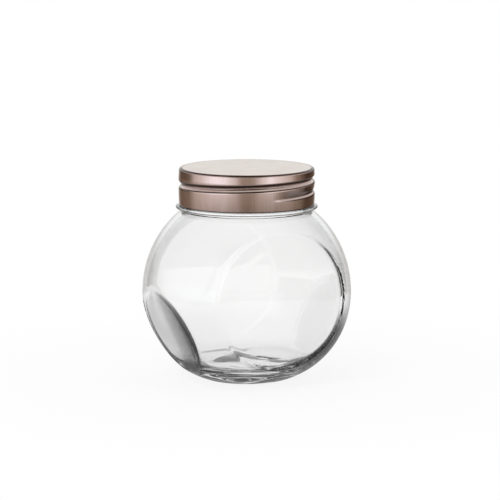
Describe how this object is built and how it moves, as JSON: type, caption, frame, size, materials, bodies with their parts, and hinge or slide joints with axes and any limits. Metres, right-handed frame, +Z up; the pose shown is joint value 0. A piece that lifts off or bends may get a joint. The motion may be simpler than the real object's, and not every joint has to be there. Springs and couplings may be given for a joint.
{
  "type": "airtight jar",
  "caption": "Clear glass globe jar with flat pressed label panels, slanted flats to lie tilted on, and a brushed metal screw lid with a sealing liner.",
  "frame": {"origin": "centre of the base ring, on the surface that the jar stands on", "axes": "+Z up along the axis of the neck and lid, -Y out of the front label panel, +X to the side of one slanted flat"},
  "size_m": [0.1068, 0.0804, 0.109],
  "materials": {
    "clear_glass": "clear, fire-polished",
    "liner_foam": "matt white foam",
    "rose_metal": "brushed, rose bronze lacquer"
  },
  "bodies": {
    "jar": {"glass_jar": "clear_glass"},
    "liner": {"seal_liner": "liner_foam"},
    "lid": {"lid_shell": "rose_metal"}
  },
  "joints": [
    {"name": "lid_lift", "type": "slide", "parent": "jar", "child": "liner", "axis": [0, 0, 1], "range_m": [0, 0.0193]},
    {"name": "lid_turn", "type": "hinge", "parent": "liner", "child": "lid", "pos_m": [0, 0, 0.1], "axis": [0, 0, 1], "range_deg": [0, 1080]}
  ],
  "couplings": [
    {"joint": "lid_lift", "follows": "lid_turn", "m_per_rad": 0.0010186}
  ]
}
